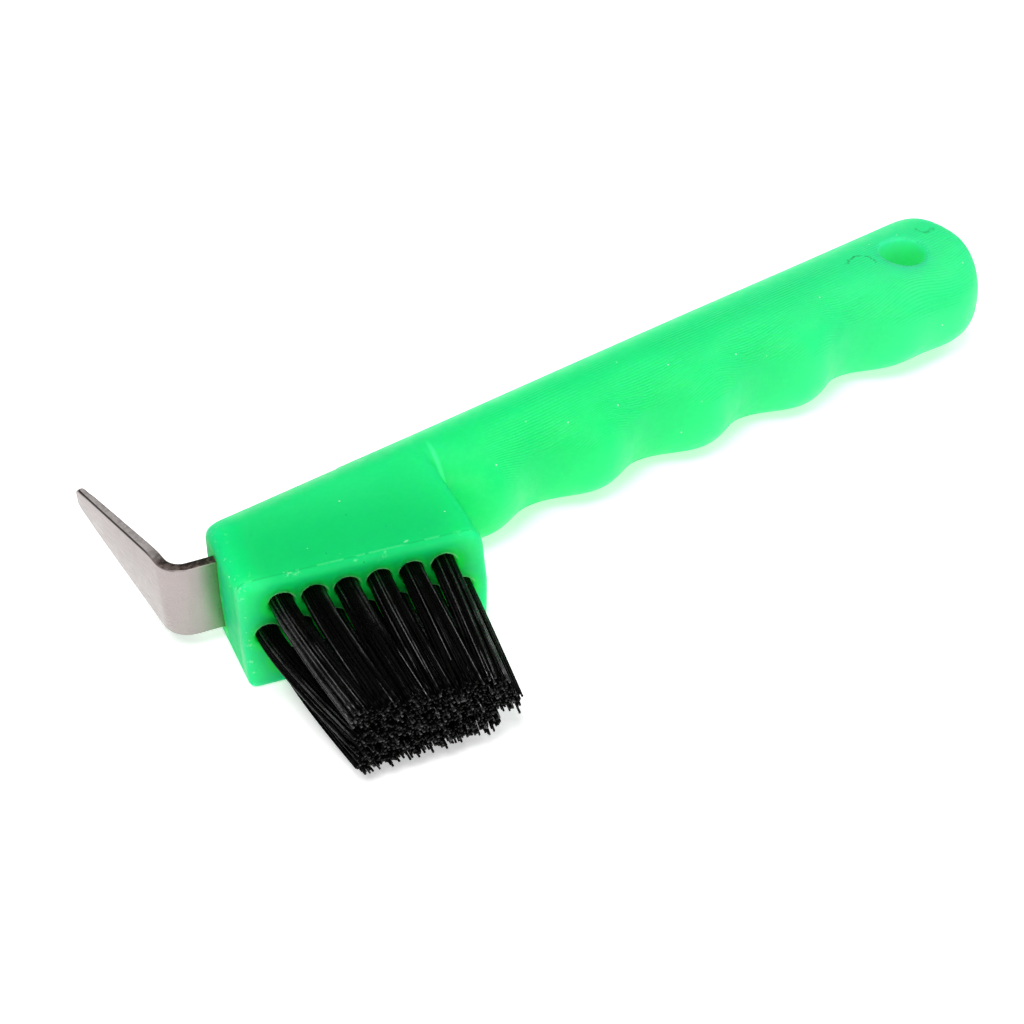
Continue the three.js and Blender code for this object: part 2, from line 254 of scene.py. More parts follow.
def surface_net(field, low, step):
    """Points and quads over the zero level of a sampled field that is negative inside."""
    inside = field < 0
    nx, ny, nz = (n - 1 for n in field.shape)
    count = sum(inside[i:nx + i, j:ny + j, k:nz + k].astype(np.int8) for i, j, k in CORNERS)
    active = (count > 0) & (count < 8)
    number = np.full(active.shape, -1, np.int64)
    number[active] = np.arange(active.sum())
    points = low + step * net_points(field, np.argwhere(active), active)
    return points, np.concatenate([net_quads(inside, number, axis) for axis in range(3)])


def settle(shape, points, rounds=4, most=0.25):
    """Moves points along the field's slope until they lie on its zero level."""
    tiny = 0.01
    for _ in range(rounds):
        value = shape(*points.T)
        slope = np.stack(
            [(shape(*(points + tiny * axis).T) - shape(*(points - tiny * axis).T)) / (2 * tiny)
             for axis in np.eye(3)], 1)
        step = (value / np.maximum((slope ** 2).sum(1), 0.05))[:, None] * slope
        length = np.linalg.norm(step, axis=1, keepdims=True)
        points = points - step * np.minimum(1, most / np.maximum(length, 1e-9))
    return points


# ---------------------------------------------------------------- handle


def finger_depth(x):
    """From the back of the grip to its wavy finger side."""
    turns = (x - FIRST_VALLEY) / FINGER_PITCH
    lobe = FINGER_DEPTH * (1 - np.cos(2 * np.pi * turns)) / 2
    wavy = GRIP_VALLEY + GRIP_TAPER * (x - FIRST_VALLEY) + lobe
    blend = smoothstep(turns, *END_BLEND)
    return wavy * (1 - blend) + END_DEPTH * blend


def end_rounding(x, length_and_power):
    """The share of a half width that is left where the far end rounds off."""
    length, power = length_and_power
    past = np.clip((x - (GRIP_END - length)) / length, 0, 1)
    return np.maximum(1 - past ** power, 1e-6) ** (1 / power)


def swelling(x, y):
    """Extra half width on the flats of the finger lobes."""
    total = 0
    for lobe in (-0.5, 0.5, 1.5, 2.5):
        across = (x - (FIRST_VALLEY + lobe * FINGER_PITCH)) / SWELL_REACH[0]
        deep = (y + SWELL_DEPTH + 0.4 * lobe) / SWELL_REACH[1]
        total = total + SWELL_HEIGHT * np.exp(-across ** 2 - deep ** 2)
    return total


def grip_field(x, y, z):
    """The grip: a superellipse section with a wavy finger side and a rounded far end."""
    middle = -MID + (MID - END_DEPTH / 2) * smoothstep(x, 50, 140)
    back = -middle * end_rounding(x, END_ROUND_BACK)
    front = (finger_depth(x) + middle) * end_rounding(x, END_ROUND_FRONT)
    half = (GRIP_HALF_WIDTH + swelling(x, y)) * end_rounding(x, END_ROUND_SIDE)
    power = between(SECTION_POWER, smoothstep(x, 45, 120))
    depth = np.where(y > middle, back, front)
    deep, wide = np.abs((y - middle) / depth), np.abs((z - MID) / half)
    section = (deep ** power + wide ** power) ** (1 / power)
    inside = (section - 1) * np.minimum(depth, half)
    return np.maximum(np.maximum(np.minimum(inside, 3), GRIP_START - x), x - GRIP_END + 0.02)


def head_field(x, y, z):
    """The wedge that carries the bristles: brush face, two end faces, flat sides, round back."""
    off_mid = np.abs(z - MID)
    face = (x - FACE_FRONT[0]) * OUTWARD[0] + (y - FACE_FRONT[1]) * OUTWARD[1]
    face = face - FACE_LEAN * (1 - z / WIDTH)
    along = (x - FACE_FRONT[0]) * ACROSS_END[0] + (y - FACE_FRONT[1]) * ACROSS_END[1]
    left, right = (swell + draft * (MID * 0.75 - off_mid) for swell, draft in zip(END_SWELL, DRAFT))
    ends = np.maximum(both(-along - left, y, HEAD_NOSE), along - HEAD_LENGTH - right)
    sides = off_mid - MID
    round_back = np.sqrt(np.maximum(0, y + MID) ** 2 + off_mid ** 2) - MID
    round_back = round_back + BACK_SHRINK * smoothstep(y, -MID, -0.4 * MID)
    walls = np.where(y > -MID, round_back, sides)
    softness = 0.65 + 0.35 * smoothstep(z, 0.5 * MID, 1.5 * MID)
    corner = softness * between(HEAD_CORNERS, smoothstep(along, 10, 30))
    corner = corner * (1 - 0.25 * smoothstep(y, -12, -4))
    return both(both(walls, ends, corner), face, softness * FACE_EDGE)


def tuft_hole(x, y, z, along, side):
    """A blind round hole square to the brush face."""
    base = face_point(along, 0, MID + side * ROW_SPACING)
    out = (x - base[0]) * OUTWARD[0] + (y - base[1]) * OUTWARD[1]
    sideways = (x - base[0]) * ALONG[0] + (y - base[1]) * ALONG[1]
    distance = np.sqrt(sideways ** 2 + (z - base[2]) ** 2) - TUFT_HOLE_RADIUS
    return np.maximum(distance, -TUFT_HOLE_DEPTH - out)


def strip_corner():
    """Where the middle lines of the strip's tang and of the pick would meet."""
    middle = face_point(0, -BLADE_MIDDLE, 0)
    return np.array([PICK_MIDDLE, middle[1] - (PICK_MIDDLE - middle[0]) * math.tan(FACE_TILT), 0])


def tang_slot(x, y, z):
    """The slot that the blade's tang fills."""
    corner = strip_corner()
    off = (x - corner[0]) * math.sin(STRIP_TILT) + (y - corner[1]) * math.cos(STRIP_TILT)
    along = (x - corner[0]) * math.cos(STRIP_TILT) - (y - corner[1]) * math.sin(STRIP_TILT)
    thick = np.abs(off) - (BLADE_THICKNESS[0] / 2 + SLOT_SPARE)
    wide = np.abs(z - MID) - (BLADE_WIDTH / 2 + SLOT_SPARE)
    return np.maximum(np.maximum(thick, wide), along - (TANG_LENGTH - PICK_MIDDLE + SLOT_SPARE))


def tuft_places():
    """Every tuft's name, step along its row, side and the place of its tip along the face."""
    for row, (count, shift, side, first_tip, tip_pitch) in ROWS.items():
        for i in range(count):
            yield f"{row}_{i + 1}", i + shift, side, first_tip + i * tip_pitch


def handle_field(x, y, z):
    """The whole moulding: head and grip, less the tuft holes, the tang's slot and the hang hole."""
    fillet = JOIN_FILLET[0] + JOIN_FILLET[1] * smoothstep(-y, 9, 17)
    body = union(head_field(x, y, z), grip_field(x, y, z), fillet)
    holes = np.full_like(body, 1e3)
    for _, step, side, _ in tuft_places():
        holes = np.minimum(holes, tuft_hole(x, y, z, TUFT_MARGIN + step * TUFT_PITCH, side))
    body = without(body, holes, TUFT_HOLE_LIP)
    body = without(body, tang_slot(x, y, z), SLOT_LIP)
    hang = np.hypot(x - HANG_HOLE[0], y - HANG_HOLE[1]) - HANG_HOLE_RADIUS
    return without(body, hang, HANG_HOLE_LIP)


def make_handle(material):
    step = GRID
    low = np.array([-1.5, -HEAD_DEPTH - 13, -1.0])
    high = np.array([GRIP_END + 1.5, 1.5, WIDTH + 1.0])
    axes = [np.arange(a, b, step) for a, b in zip(low, high)]
    slabs = []
    for xs in np.array_split(axes[0], 24):
        slabs.append(handle_field(*np.meshgrid(xs, axes[1], axes[2], indexing="ij")))
    points, quads = surface_net(np.concatenate(slabs), low, step)
    points = settle(handle_field, points)
    piece = make_piece("moulded_handle", points, quads, [material])
    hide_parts("handle")
    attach(piece, "root")


# ---------------------------------------------------------------- bristles


def disc_places(radius, pitch, rng):
    """Filament centres packed in rings over a disc."""
    places = [(0.0, 0.0)]
    rings = int(radius / pitch + 0.35)
    for ring in range(1, rings + 1):
        r = radius * ring / rings
        count = int(2 * math.pi * r / pitch)
        turn = rng.uniform(0, 2 * math.pi)
        for i in range(count):
            angle = turn + 2 * math.pi * i / count
            places.append((r * math.cos(angle), r * math.sin(angle)))
    return places


def tube_faces(rings, sides):
    """The walls between rings of points that follow each other, and the two end caps."""
    walls = []
    for k in range(rings - 1):
        for i in range(sides):
            j = (i + 1) % sides
            walls.append((k * sides + i, k * sides + j, (k + 1) * sides + j, (k + 1) * sides + i))
    last = (rings - 1) * sides
    return walls, [tuple(range(sides))[::-1], tuple(last + i for i in range(sides))]


def tangents(path):
    tangent = np.gradient(path, axis=0)
    return tangent / np.linalg.norm(tangent, axis=1, keepdims=True)


def sweep(path, radius, sides):
    """Rings of points round a path, and the faces of the closed tube over them."""
    tangent = tangents(path)
    side = np.cross(tangent, ALONG)
    side /= np.linalg.norm(side, axis=1, keepdims=True)
    other = np.cross(tangent, side)
    angles = 2 * np.pi * np.arange(sides) / sides
    cos, sin = np.cos(angles)[None, :, None], np.sin(angles)[None, :, None]
    ring = side[:, None] * cos + other[:, None] * sin
    points = (path[:, None] + radius * ring).reshape(-1, 3)
    return points, *tube_faces(len(path), sides)


def filament_path(root, tip, trim, rng):
    """One filament's centre line, from inside its hole to its cut end."""
    t = np.linspace(0, 1, 13)[:, None]
    lean = 0.1 * (tip - root) + rng.normal(0, 0.12, 2)
    start = face_point(root[0], 0, root[1])
    control = face_point(root[0] + lean[0], TUFT_BEND * trim, root[1] + lean[1])
    end = face_point(tip[0], trim, tip[1])
    free = (1 - t) ** 2 * start + 2 * t * (1 - t) * control + t ** 2 * end
    hidden = face_point(root[0], 0.6 - TUFT_HOLE_DEPTH, root[1])
    return np.concatenate([hidden[None], free])


def make_tuft(name, step, side, tip_along, materials, rng):
    """One bundle of filaments; their cut ends take the second material."""
    root = np.array([TUFT_MARGIN + step * TUFT_PITCH, MID + side * ROW_SPACING])
    tip_z = MID + side * between(TIP_SPACING, step / 6) - between(TIP_SAG, step / 6)
    tip = np.array([tip_along, tip_z])
    points, faces, slots, shine = [], [], [], []
    total = 0
    for place in disc_places(TUFT_RADIUS - FILAMENT_RADIUS, FILAMENT_PITCH, rng):
        place = np.array(place)
        trim = between(TUFT_TRIM, step / 6) + rng.normal(0, FILAMENT_SCATTER)
        if rng.random() < LONG_FILAMENTS:
            trim += rng.uniform(0.3, 1.6)
        end = tip + place * TUFT_SPREAD + rng.normal(0, FILAMENT_SCATTER, 2)
        path = filament_path(root + place, end, trim, rng)
        tube, walls, caps = sweep(path, FILAMENT_RADIUS * rng.uniform(0.9, 1.06), 6)
        points.append(tube)
        faces += [tuple(i + total for i in f) for f in walls + caps]
        slots += [0] * (len(walls) + 1) + [1]
        shine += [rng.random()] * len(tube)
        total += len(tube)
    piece = make_piece(f"bristles_{name}", np.concatenate(points), faces, materials)
    piece.data.polygons.foreach_set("material_index", slots)
    piece.data.attributes.new("strand", "FLOAT", "POINT").data.foreach_set("value", shine)
    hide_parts(f"tuft_{name}")
    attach(piece, "root")


# ---------------------------------------------------------------- steel pick


def blade_path():
    """Centre line of the bent strip, from the end of the tang to the start of the round tip."""
    corner = strip_corner()
    strip = np.array([math.cos(STRIP_TILT), -math.sin(STRIP_TILT), 0])
    turn = math.pi / 2 - STRIP_TILT
    reach = BLADE_BEND * math.tan(turn / 2)
    centre = np.array([PICK_MIDDLE + BLADE_BEND, corner[1] + reach, 0])
    tang_end = corner + (TANG_LENGTH - PICK_MIDDLE) * strip
    tang = np.linspace(tang_end, corner + reach * strip, 14, endpoint=False)
    angle = 1.5 * math.pi - STRIP_TILT - np.linspace(0, turn, 18, endpoint=False)
    bend = centre + BLADE_BEND * np.stack([np.cos(angle), np.sin(angle), 0 * angle], 1)
    pick_end = np.array([PICK_MIDDLE, PICK_TIP, 0])
    rise = np.linspace(0, 1, 30, endpoint=False)[:, None]
    pick_start = np.array([PICK_MIDDLE, centre[1], 0])
    round_start = pick_end - TIP_HALF_WIDTH * np.array([0, 1, 0])
    pick = pick_start + (round_start - pick_start) * rise
    tip = round_start + TIP_HALF_WIDTH * np.sin(np.linspace(0, math.pi / 2, 20))[:, None] * [0, 1, 0]
    return np.concatenate([tang, bend, pick, tip])


def blade_half_width(y):
    """Half the strip's width: full in the handle, tapering up the pick and round at its tip."""
    round_start = PICK_TIP - TIP_HALF_WIDTH
    share = np.clip((y - PICK_TAPER_START) / (round_start - PICK_TAPER_START), 0, 1)
    width = between((BLADE_WIDTH / 2, TIP_HALF_WIDTH), share)
    past = np.clip((y - round_start) / TIP_HALF_WIDTH, 0, 1)
    return width * np.sqrt(np.maximum(1 - past ** 2, 0.0025))


def make_blade(material):
    """The bent strip: a section with rounded corners, carried along the centre line."""
    path = blade_path()
    normal = np.cross(UP, tangents(path))
    corners = [(1, 1, 90), (1, -1, 0), (-1, -1, -90), (-1, 1, -180)]
    ring = [(n, z, math.radians(start - 22.5 * i)) for n, z, start in corners for i in range(5)]
    points = []
    for place, across in zip(path, normal):
        wide = float(blade_half_width(place[1]))
        rise = np.clip((place[1] + MID) / (PICK_TIP + MID), 0, 1)
        half = between(BLADE_THICKNESS, rise) / 2
        past = np.clip((place[1] - PICK_TIP) / half + 1, 0, 1)
        half = half * math.sqrt(1 - 0.97 * past ** 2)
        worn = BLADE_EDGE + WORN_TIP * smoothstep(place[1], PICK_TIP - 7, PICK_TIP - 1.5)
        r = min(worn, wide, half)
        lift = PICK_LIFT * smoothstep(place[1], PICK_TAPER_START - 5, PICK_TAPER_START + 3)
        for sign_n, sign_z, angle in ring:
            n = sign_n * (half - r) + r * math.cos(angle)
            z = sign_z * (wide - r) + r * math.sin(angle)
            points.append(place + n * across + (MID + z + lift) * UP)
    walls, caps = tube_faces(len(path), len(ring))
    piece = make_piece("steel_pick", points, walls + caps, [material])
    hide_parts("pick_blade")
    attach(piece, "root")


# ---------------------------------------------------------------- materials


class Look:
    """A material under construction, with short calls that add and join shader nodes."""

    def __init__(self, name):
        self.material = bpy.data.materials.new(name)
        self.material.use_nodes = True
        self.tree = self.material.node_tree
        self.shader = self.tree.nodes["Principled BSDF"]
        place = self.node("TexCoord").outputs["Object"]
        moved = self.node("VectorMath", {0: place, 1: tuple(ORIGIN)}, operation="SUBTRACT").outputs[0]
        scaled = self.node("VectorMath", {0: moved, "Scale": 1 / MM}, operation="SCALE").outputs[0]
        self.place = scaled
        self.x, self.y, self.z = self.node("SeparateXYZ", {0: scaled}).outputs

    def node(self, kind, inputs=None, **settings):
        node = self.tree.nodes.new("ShaderNode" + kind)
        for key, value in settings.items():
            setattr(node, key, value)
        for key, value in (inputs or {}).items():
            self.join(value, node.inputs[key])
        return node

    def join(self, value, socket):
        if isinstance(value, bpy.types.NodeSocket):
            self.tree.links.new(value, socket)
        else:
            socket.default_value = value

    def set(self, name, value):
        self.join(value, self.shader.inputs[name])

    def math(self, operation, a, b=0.0):
        return self.node("Math", {0: a, 1: b}, operation=operation).outputs[0]

    def add(self, a, b):
        return self.math("ADD", a, b)

    def times(self, a, b):
        return self.math("MULTIPLY", a, b)

    def step(self, value, low, high, start=0.0, end=1.0):
        """A smooth step of the value from start to end between low and high."""
        inputs = {"Value": value, "From Min": low, "From Max": high, "To Min": start, "To Max": end}
        return self.node("MapRange", inputs, interpolation_type="SMOOTHSTEP").outputs[0]

    def band(self, value, middle, half):
        """One at the middle value, falling to nothing half a width away."""
        away = self.math("ABSOLUTE", self.math("SUBTRACT", value, middle))
        return self.step(away, 0.0, half, 1.0, 0.0)

    def stretched(self, scale):
        return self.node("VectorMath", {0: self.place, 1: scale}, operation="MULTIPLY").outputs[0]

    def noise(self, grain, detail=2.0, vector=None, rough=0.5):
        """Noise whose lumps are about one grain, in millimetres, across."""
        inputs = {"Vector": vector or self.place, "Scale": 1 / grain, "Detail": detail, "Roughness": rough}
        return self.node("TexNoise", inputs).outputs[0]

    def specks(self, spacing, radius, share):
        """Scattered round dots, on a share of the cells of a grid with this spacing."""
        cell = self.node("TexVoronoi", {"Vector": self.place, "Scale": 1 / spacing})
        near = self.step(cell.outputs["Distance"], 0.4 * radius / spacing, radius / spacing, 1.0, 0.0)
        draw = self.node("SeparateColor", {0: cell.outputs["Color"]}).outputs[0]
        return self.times(near, self.math("LESS_THAN", draw, share))

    def blend(self, share, a, b):
        mix = self.node("Mix", data_type="RGBA")
        self.join(share, mix.inputs[0])
        self.join(a, mix.inputs[6])
        self.join(b, mix.inputs[7])
        return mix.outputs[2]

    def bump(self, height, distance_mm, strength=1.0, under=None):
        inputs = {"Height": height, "Distance": distance_mm * MM, "Strength": strength}
        node = self.node("Bump", inputs)
        if under:
            self.join(under, node.inputs["Normal"])
        return node.outputs[0]


PLASTIC = {
    "near": (0.004, 0.66, 0.17, 1),           # by the head, and how it clouds
    "near_cloud": (0.008, 0.72, 0.2, 1),
    "far": (0.02, 0.68, 0.225, 1),            # by the hang hole, and how it clouds
    "far_cloud": (0.03, 0.72, 0.26, 1),
    "grain": (0.03, 0.78, 0.26, 1),
    # painted shade: the head darker and deeper green where the black tufts and steel inside it take up light
    "thick": (0.0005, 0.52, 0.105, 1),
    # painted shade: the brush face between the tufts darker and deeper green
    "brush_face_shade": (0.0, 0.66, 0.006, 1),
    # painted light: the front end round the blade paler, against the shade the steel casts into the plastic
    "light_by_blade": (0.02, 1.0, 0.12, 1),
    # painted light: the round back of the grip paler where it turns to the light
    "back": (0.05, 0.95, 0.32, 1),
    # painted light: the plastic round the tuft holes brighter, against the shade there
    "light_by_tufts": (0.005, 0.95, 0.07, 1),
    # painted light: pale arcs on the upper lips of the tuft holes
    "rim_light": (0.16, 0.95, 0.26, 1),
    # painted light: a pale line in the join of head and grip, against the shade in that hollow
    "crease": (0.06, 0.95, 0.32, 1),
    # painted light: the hang hole's walls bright, as light comes through the plastic
    "hang_hole_glow": (0.12, 1.0, 0.5, 1),
    "dark_line": (0.001, 0.26, 0.05, 1),
    "pale_line": (0.3, 0.9, 0.45, 1),
    "scuffs": (0.55, 0.93, 0.64, 1),
    "end_scuffs": (0.5, 0.93, 0.6, 1),
    "dark_specks": (0.003, 0.14, 0.04, 1),
    "pale_specks": (0.7, 0.97, 0.78, 1),
    "arcs": (0.002, 0.13, 0.02, 1),
    # the milled lines' ridges are real and in the bump; these colours paint shade and light on them
    "milled_shade": (0.002, 0.45, 0.09, 1),
    "milled_light": (0.06, 0.95, 0.3, 1),
}
LINE_SPACING = 0.72       # from one milled line to the next
SCATTER_REACH = 14.0
SCATTER_BY_COLOR = (0.3, 1.0, 0.6)
ARC_MARKS = (((139.4, -13.3), 2.6, 1), ((157.4, -11.3), 1.7, -1))  # centre, radius, side


def measured(look, axis):
    """Distance from the brush face's front corner along an axis that lies flat."""
    x = look.times(look.math("SUBTRACT", look.x, FACE_FRONT[0]), axis[0])
    y = look.times(look.math("SUBTRACT", look.y, FACE_FRONT[1]), axis[1])
    return look.add(x, y)


def length_of(look, a, b):
    return look.math("SQRT", look.add(look.times(a, a), look.times(b, b)))


def arc_mark(look, centre, radius, side):
    """A short dark arc on the flat of the grip's end, open to one side."""
    dx = look.math("SUBTRACT", look.x, centre[0])
    dy = look.math("SUBTRACT", look.y, centre[1])
    wobble = look.step(look.noise(1.6), 0.3, 0.7, -0.35, 0.35)
    line = look.band(look.add(length_of(look, dx, dy), wobble), radius, 0.42)
    lean = look.add(look.times(dx, 0.55), look.times(dy, 0.83))
    open_side = look.step(look.times(lean, side), -0.6, 0.4)
    broken = look.step(look.noise(0.7, 3), 0.42, 0.5)
    return look.times(look.times(line, broken), look.times(open_side, look.step(look.z, MID, WIDTH - 4)))


def tuft_hole_distance(look, along):
    """Distance to the nearest tuft hole's axis, and how far above that axis a point is."""
    z = look.math("SUBTRACT", look.z, MID)
    outer = look.math("SUBTRACT", z, look.times(look.math("SIGN", z), ROW_SPACING))
    found = []
    for row, v in (("middle", z), ("upper", outer)):
        count, shift = ROWS[row][:2]
        u = look.math("SUBTRACT", along, TUFT_MARGIN + shift * TUFT_PITCH)
        nearest = look.math("ROUND", look.times(u, 1 / TUFT_PITCH))
        nearest = look.math("MINIMUM", look.math("MAXIMUM", nearest, 0), count - 1)
        u = look.math("SUBTRACT", u, look.times(nearest, TUFT_PITCH))
        found.append((length_of(look, u, v), v))
    return found


def head_zones(look, along, out):
    """Where shade is painted into the head over the tufts and steel inside it, and the middle of the brush
    face, where shade between the tufts is painted.
    """
    beside = look.times(look.step(along, -2, 6), look.step(along, FACE_LENGTH + 18, FACE_LENGTH - 16))
    thick = look.times(look.step(out, -22, -8), beside)
    off_mid = look.math("ABSOLUTE", look.math("SUBTRACT", look.z, MID))
    margins = look.times(look.step(along, 1.5, 7), look.step(along, FACE_LENGTH - 1.5, FACE_LENGTH - 6))
    face = look.step(out, -2.5, -0.4)
    bare = look.times(face, look.math("SUBTRACT", 1.0, margins))
    thick = look.times(thick, look.math("SUBTRACT", 1.0, bare))
    within = look.times(margins, look.step(off_mid, MID - 1.5, MID - 5))
    return thick, look.times(within, face)


def near_holes(look, along, out):
    """The plastic round the tuft holes, where less light comes back out of it."""
    near = 0.0
    for distance, _ in tuft_hole_distance(look, along):
        near = look.math("MAXIMUM", near, look.step(distance, TUFT_HOLE_RADIUS + 2, TUFT_HOLE_RADIUS))
    return look.times(near, look.step(out, -2, -0.6))


def near_slot(look, along, out, reach):
    """The plastic of the front end round the blade, as far as this reach from it."""
    off_middle = look.math("ABSOLUTE", look.add(out, BLADE_MIDDLE))
    off_blade = look.math("SUBTRACT", off_middle, BLADE_THICKNESS[0] / 2)
    off_mid = look.math("ABSOLUTE", look.math("SUBTRACT", look.z, MID))
    distance = look.math("MAXIMUM", off_blade, look.math("SUBTRACT", off_mid, BLADE_WIDTH / 2))
    return look.times(look.step(distance, reach, 0.0), look.step(along, 6, 3))


def hole_rim_light(look, along, out):
    """Painted light on the upper lips of the tuft holes."""
    rim_light = 0.0
    for distance, above in tuft_hole_distance(look, along):
        rim = look.times(look.band(distance, TUFT_HOLE_RADIUS + 0.22, 0.3), look.step(above, 0.2, 1.2))
        rim_light = look.math("MAXIMUM", rim_light, rim)
    return look.times(look.times(rim_light, look.step(out, -0.7, -0.25)), look.step(look.noise(1.2), 0.3, 0.55))


def plastic_color(look, along, out, thick, brush_face_shade, rim_light):
    """The green of the moulding, from its slow clouding to its tuft holes, crease and hang hole; much of it
    is painted shade and light.
    """
    cloud = look.noise(14, 3)  # a lump's size in millimetres, and how many finer layers it has
    near = look.blend(cloud, PLASTIC["near"], PLASTIC["near_cloud"])
    far = look.blend(cloud, PLASTIC["far"], PLASTIC["far_cloud"])
    base = look.blend(look.step(look.x, 45, 165), near, far)
    grain = look.noise(0.9, 4)
    base = look.blend(look.step(grain, 0.35, 0.8, 0.0, 0.2), base, PLASTIC["grain"])
    # painted shade over the tufts and steel inside the head
    base = look.blend(look.times(thick, 0.6), base, PLASTIC["thick"])
    # painted shade between the tufts on the brush face
    base = look.blend(look.times(brush_face_shade, 0.95), base, PLASTIC["brush_face_shade"])
    # painted light round the blade, against the shade the steel casts into the plastic
    base = look.blend(near_slot(look, along, out, 2.4), base, PLASTIC["light_by_blade"])
    # painted light along the round back of the grip
    back = look.times(look.step(look.y, -11, -2), look.step(look.x, 30, 50, 0.3, 0.9))
    base = look.blend(back, base, PLASTIC["back"])
    # painted light round the tuft holes, against the shade there
    base = look.blend(look.times(near_holes(look, along, out), 0.8), base, PLASTIC["light_by_tufts"])
    base = look.blend(rim_light, base, PLASTIC["rim_light"])

    # painted light in the join of head and grip, against the shade in that hollow
    crease = look.band(measured(look, ACROSS_END), HEAD_LENGTH + 0.35, 0.6)
    crease = look.times(crease, look.times(look.step(look.z, MID + 3, MID + 7), look.step(look.y, -8, -13)))
    base = look.blend(look.times(crease, 0.9), base, PLASTIC["crease"])

    # painted light inside the hang hole
    from_hole = [look.math("SUBTRACT", p, c) for p, c in zip((look.x, look.y), HANG_HOLE)]
    hole_glow = look.step(length_of(look, *from_hole), HANG_HOLE_RADIUS + 0.15, HANG_HOLE_RADIUS - 0.15)
    return look.blend(hole_glow, base, PLASTIC["hang_hole_glow"])


def plastic_marks(look, base, along, out):
    """Scuffs along the brush face's edge, specks in the moulding and the marks by the hang hole."""
    top_edge = look.step(look.z, WIDTH - 1.6, WIDTH - 0.6)
    worn = look.step(look.noise(2.2, 4), 0.45, 0.55)
    line = look.times(look.band(out, -1.3, 0.32), top_edge)
    dark_line = look.times(line, look.step(worn, 1, 0, 0.0, 0.3))
    base = look.blend(dark_line, base, PLASTIC["dark_line"])
    base = look.blend(look.times(line, look.step(worn, 0, 1, 0.0, 0.12)), base, PLASTIC["pale_line"])
    scuffs = look.step(look.noise(2.4, 6, rough=0.7), 0.61, 0.7)
    near_edge = look.times(look.band(out, -1.9, 2.4), top_edge)
    base = look.blend(look.times(look.times(near_edge, scuffs), 0.5), base, PLASTIC["scuffs"])
    end_scuffs = look.times(look.band(along, 0.3, 1.6), look.step(look.noise(1.3, 5, rough=0.7), 0.58, 0.66))
    base = look.blend(look.times(end_scuffs, 0.3), base, PLASTIC["end_scuffs"])
    base = look.blend(look.times(look.specks(3.6, 0.17, 0.4), 0.75), base, PLASTIC["dark_specks"])
    base = look.blend(look.times(look.specks(3.2, 0.2, 0.5), 0.85), base, PLASTIC["pale_specks"])
    first, second = (arc_mark(look, *mark) for mark in ARC_MARKS)
    arcs = look.math("MAXIMUM", first, look.times(second, 0.6))
    return look.blend(look.times(arcs, 0.75), base, PLASTIC["arcs"])


def milled_lines(look):
    """Contour lines that the mould's cutter left along the grip and round its finger lobes."""
    half = FINGER_PITCH / 2
    u = look.math("SUBTRACT", look.x, FIRST_VALLEY + half + 2)
    u = look.node("Math", {0: u, 1: half, 2: -half}, operation="WRAP").outputs[0]
    v = look.add(look.y, SWELL_DEPTH)
    top = look.math("SUBTRACT", look.z, MID)
    behind = look.add(look.y, MID)
    turned = look.math("SUBTRACT", math.pi / 2, look.math("ARCTAN2", top, look.math("MAXIMUM", behind, 0)))
    around = look.add(look.math("MINIMUM", behind, 0), look.times(turned, MID))
    fallen = look.math("MINIMUM", look.math("SUBTRACT", look.z, WIDTH - 0.5), 0)
    around = look.add(around, look.times(fallen, look.step(behind, 1, -2)))
    away = length_of(look, look.times(u, 1 / SWELL_REACH[0]), look.times(v, 1 / SWELL_REACH[1]))
    lobe = look.math("EXPONENT", look.times(look.times(away, away), -1))
    wander = look.times(look.noise(11, 3), 0.6)
    level = look.math("SUBTRACT", look.add(wander, look.times(lobe, 3.4)), around)
    up = look.node("SeparateXYZ", {0: look.node("NewGeometry").outputs["Normal"]}).outputs[2]
    slope = look.times(look.step(up, 0.15, 0.4), look.step(look.y, -6, -11))
    on_grip = look.step(look.x, 44, 60)
    strength = look.times(look.times(slope, on_grip), look.step(look.noise(7, 3), 0.3, 0.6, 0.2, 1.0))
    return look.times(look.math("SINE", look.times(level, 2 * math.pi / LINE_SPACING)), strength)


